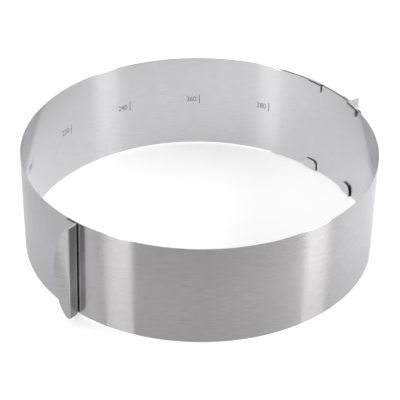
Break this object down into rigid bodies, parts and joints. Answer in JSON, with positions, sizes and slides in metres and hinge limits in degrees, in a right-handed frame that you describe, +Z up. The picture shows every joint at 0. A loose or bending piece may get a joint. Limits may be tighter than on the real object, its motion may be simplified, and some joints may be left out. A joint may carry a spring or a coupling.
{
  "type": "adjustable cake ring",
  "caption": "Round springy steel cake ring with overlapping ends, folded lugs that hold them together, two outside finger grips and an etched diameter scale.",
  "frame": {"origin": "middle of the ring as set, level with the lowest folds of the lugs", "axes": "+Z up along the ring's axis, -Y towards the picture's viewer, +X to the viewer's right"},
  "size_m": [0.2824, 0.2833, 0.0875],
  "materials": {
    "strip": "brushed",
    "grip": "brushed"
  },
  "bodies": {
    "arc_01": {"band_01": "strip"},
    "arc_02": {"band_02": "strip"},
    "arc_03": {"band_03": "strip"},
    "arc_04": {"band_04": "strip"},
    "arc_05": {"band_05": "strip"},
    "arc_06": {"band_06": "strip"},
    "arc_07": {"band_07": "strip"},
    "arc_08": {"band_08": "strip"},
    "arc_09": {"band_09": "strip"},
    "arc_10": {"band_10": "strip"},
    "arc_11": {"band_11": "strip"},
    "arc_12": {"band_12": "strip"},
    "arc_13": {"band_13": "strip"},
    "arc_14": {"band_14": "strip"},
    "arc_15": {"band_15": "strip"},
    "arc_16": {"band_16": "strip", "grip_middle": "grip"},
    "arc_17": {"band_17": "strip"},
    "arc_18": {"band_18": "strip"},
    "arc_19": {"band_19": "strip"},
    "arc_20": {"band_20": "strip"},
    "arc_21": {"band_21": "strip"},
    "arc_22": {"band_22": "strip"},
    "arc_23": {"band_23": "strip"},
    "arc_24": {"band_24": "strip"},
    "arc_25": {"band_25": "strip"},
    "arc_26": {"band_26": "strip"},
    "arc_27": {"band_27": "strip"},
    "arc_28": {"band_28": "strip"},
    "arc_29": {"band_29": "strip"},
    "arc_30": {"band_30": "strip"},
    "arc_31": {"band_31": "strip"},
    "arc_32": {"band_32": "strip", "grip_outer_end": "grip"}
  },
  "joints": [
    {"name": "flex_15_16", "type": "hinge", "parent": "arc_16", "child": "arc_15", "pos_m": [-0.08321, -0.11389, 0.00125], "axis": [0, 0, 1], "range_deg": [-0.76, 8.51]},
    {"name": "flex_14_15", "type": "hinge", "parent": "arc_15", "child": "arc_14", "pos_m": [-0.05634, -0.12924, 0.00125], "axis": [0, 0, 1], "range_deg": [-0.78, 8.68]},
    {"name": "flex_13_14", "type": "hinge", "parent": "arc_14", "child": "arc_13", "pos_m": [-0.02678, -0.13836, 0.00125], "axis": [0, 0, 1], "range_deg": [-0.78, 8.7]},
    {"name": "flex_12_13", "type": "hinge", "parent": "arc_13", "child": "arc_12", "pos_m": [0.00406, -0.14081, 0.00125], "axis": [0, 0, 1], "range_deg": [-0.78, 8.73]},
    {"name": "flex_11_12", "type": "hinge", "parent": "arc_12", "child": "arc_11", "pos_m": [0.03469, -0.13647, 0.00125], "axis": [0, 0, 1], "range_deg": [-0.78, 8.75]},
    {"name": "flex_10_11", "type": "hinge", "parent": "arc_11", "child": "arc_10", "pos_m": [0.06364, -0.12554, 0.00125], "axis": [0, 0, 1], "range_deg": [-0.79, 8.78]},
    {"name": "flex_09_10", "type": "hinge", "parent": "arc_10", "child": "arc_09", "pos_m": [0.0895, -0.10855, 0.00125], "axis": [0, 0, 1], "range_deg": [-0.79, 8.8]},
    {"name": "flex_08_09", "type": "hinge", "parent": "arc_09", "child": "arc_08", "pos_m": [0.11102, -0.08632, 0.00125], "axis": [0, 0, 1], "range_deg": [-0.79, 8.82]},
    {"name": "flex_07_08", "type": "hinge", "parent": "arc_08", "child": "arc_07", "pos_m": [0.12715, -0.05993, 0.00125], "axis": [0, 0, 1], "range_deg": [-0.79, 8.85]},
    {"name": "flex_06_07", "type": "hinge", "parent": "arc_07", "child": "arc_06", "pos_m": [0.13713, -0.03064, 0.00125], "axis": [0, 0, 1], "range_deg": [-0.79, 8.87]},
    {"name": "flex_05_06", "type": "hinge", "parent": "arc_06", "child": "arc_05", "pos_m": [0.14045, 0.00012, 0.00125], "axis": [0, 0, 1], "range_deg": [-0.8, 8.9]},
    {"name": "flex_04_05", "type": "hinge", "parent": "arc_05", "child": "arc_04", "pos_m": [0.13695, 0.03086, 0.00125], "axis": [0, 0, 1], "range_deg": [-0.8, 8.92]},
    {"name": "flex_03_04", "type": "hinge", "parent": "arc_04", "child": "arc_03", "pos_m": [0.12681, 0.06009, 0.00125], "axis": [0, 0, 1], "range_deg": [-0.8, 8.94]},
    {"name": "flex_02_03", "type": "hinge", "parent": "arc_03", "child": "arc_02", "pos_m": [0.11051, 0.08638, 0.00125], "axis": [0, 0, 1], "range_deg": [-0.8, 8.97]},
    {"name": "flex_01_02", "type": "hinge", "parent": "arc_02", "child": "arc_01", "pos_m": [0.08885, 0.10847, 0.00125], "axis": [0, 0, 1], "range_deg": [-0.8, 8.99]},
    {"name": "flex_16_17", "type": "hinge", "parent": "arc_16", "child": "arc_17", "pos_m": [-0.10541, -0.0938, 0.00125], "axis": [0, 0, -1], "range_deg": [-0.75, 8.38]},
    {"name": "flex_17_18", "type": "hinge", "parent": "arc_17", "child": "arc_18", "pos_m": [-0.12295, -0.06935, 0.00125], "axis": [0, 0, -1], "range_deg": [-0.75, 8.38]},
    {"name": "flex_18_19", "type": "hinge", "parent": "arc_18", "child": "arc_19", "pos_m": [-0.13491, -0.04174, 0.00125], "axis": [0, 0, -1], "range_deg": [-0.75, 8.35]},
    {"name": "flex_19_20", "type": "hinge", "parent": "arc_19", "child": "arc_20", "pos_m": [-0.14075, -0.01222, 0.00125], "axis": [0, 0, -1], "range_deg": [-0.75, 8.33]},
    {"name": "flex_20_21", "type": "hinge", "parent": "arc_20", "child": "arc_21", "pos_m": [-0.1402, 0.01786, 0.00125], "axis": [0, 0, -1], "range_deg": [-0.74, 8.31]},
    {"name": "flex_21_22", "type": "hinge", "parent": "arc_21", "child": "arc_22", "pos_m": [-0.1333, 0.04715, 0.00125], "axis": [0, 0, -1], "range_deg": [-0.74, 8.29]},
    {"name": "flex_22_23", "type": "hinge", "parent": "arc_22", "child": "arc_23", "pos_m": [-0.12035, 0.07432, 0.00125], "axis": [0, 0, -1], "range_deg": [-0.74, 8.27]},
    {"name": "flex_23_24", "type": "hinge", "parent": "arc_23", "child": "arc_24", "pos_m": [-0.10196, 0.09813, 0.00125], "axis": [0, 0, -1], "range_deg": [-0.74, 8.25]},
    {"name": "flex_24_25", "type": "hinge", "parent": "arc_24", "child": "arc_25", "pos_m": [-0.07894, 0.11751, 0.00125], "axis": [0, 0, -1], "range_deg": [-0.74, 8.23]},
    {"name": "flex_25_26", "type": "hinge", "parent": "arc_25", "child": "arc_26", "pos_m": [-0.05235, 0.13159, 0.00125], "axis": [0, 0, -1], "range_deg": [-0.73, 8.21]},
    {"name": "flex_26_27", "type": "hinge", "parent": "arc_26", "child": "arc_27", "pos_m": [-0.02338, 0.13974, 0.00125], "axis": [0, 0, -1], "range_deg": [-0.73, 8.18]},
    {"name": "flex_27_28", "type": "hinge", "parent": "arc_27", "child": "arc_28", "pos_m": [0.00665, 0.14158, 0.00125], "axis": [0, 0, -1], "range_deg": [-0.73, 8.16]},
    {"name": "flex_28_29", "type": "hinge", "parent": "arc_28", "child": "arc_29", "pos_m": [0.0364, 0.13704, 0.00125], "axis": [0, 0, -1], "range_deg": [-0.73, 8.14]},
    {"name": "flex_29_30", "type": "hinge", "parent": "arc_29", "child": "arc_30", "pos_m": [0.06452, 0.12633, 0.00125], "axis": [0, 0, -1], "range_deg": [-0.73, 8.12]},
    {"name": "flex_30_31", "type": "hinge", "parent": "arc_30", "child": "arc_31", "pos_m": [0.08975, 0.10993, 0.00125], "axis": [0, 0, -1], "range_deg": [-0.77, 8.62]},
    {"name": "flex_31_32", "type": "hinge", "parent": "arc_31", "child": "arc_32", "pos_m": [0.11331, 0.08553, 0.00125], "axis": [0, 0, -1], "range_deg": [-0.85, 9.51]}
  ],
  "couplings": [
    {"joint": "flex_14_15", "follows": "flex_15_16", "ratio": 1.0191},
    {"joint": "flex_13_14", "follows": "flex_15_16", "ratio": 1.0219},
    {"joint": "flex_12_13", "follows": "flex_15_16", "ratio": 1.0246},
    {"joint": "flex_11_12", "follows": "flex_15_16", "ratio": 1.0274},
    {"joint": "flex_10_11", "follows": "flex_15_16", "ratio": 1.0302},
    {"joint": "flex_09_10", "follows": "flex_15_16", "ratio": 1.033},
    {"joint": "flex_08_09", "follows": "flex_15_16", "ratio": 1.0358},
    {"joint": "flex_07_08", "follows": "flex_15_16", "ratio": 1.0386},
    {"joint": "flex_06_07", "follows": "flex_15_16", "ratio": 1.0414},
    {"joint": "flex_05_06", "follows": "flex_15_16", "ratio": 1.0443},
    {"joint": "flex_04_05", "follows": "flex_15_16", "ratio": 1.0471},
    {"joint": "flex_03_04", "follows": "flex_15_16", "ratio": 1.05},
    {"joint": "flex_02_03", "follows": "flex_15_16", "ratio": 1.0529},
    {"joint": "flex_01_02", "follows": "flex_15_16", "ratio": 1.0558},
    {"joint": "flex_16_17", "follows": "flex_15_16", "ratio": 0.98343},
    {"joint": "flex_17_18", "follows": "flex_15_16", "ratio": 0.98328},
    {"joint": "flex_18_19", "follows": "flex_15_16", "ratio": 0.98074},
    {"joint": "flex_19_20", "follows": "flex_15_16", "ratio": 0.9782},
    {"joint": "flex_20_21", "follows": "flex_15_16", "ratio": 0.97567},
    {"joint": "flex_21_22", "follows": "flex_15_16", "ratio": 0.97316},
    {"joint": "flex_22_23", "follows": "flex_15_16", "ratio": 0.97066},
    {"joint": "flex_23_24", "follows": "flex_15_16", "ratio": 0.96817},
    {"joint": "flex_24_25", "follows": "flex_15_16", "ratio": 0.96569},
    {"joint": "flex_25_26", "follows": "flex_15_16", "ratio": 0.96322},
    {"joint": "flex_26_27", "follows": "flex_15_16", "ratio": 0.96076},
    {"joint": "flex_27_28", "follows": "flex_15_16", "ratio": 0.95832},
    {"joint": "flex_28_29", "follows": "flex_15_16", "ratio": 0.95588},
    {"joint": "flex_29_30", "follows": "flex_15_16", "ratio": 0.95346},
    {"joint": "flex_30_31", "follows": "flex_15_16", "ratio": 1.0117},
    {"joint": "flex_31_32", "follows": "flex_15_16", "ratio": 1.1166}
  ]
}
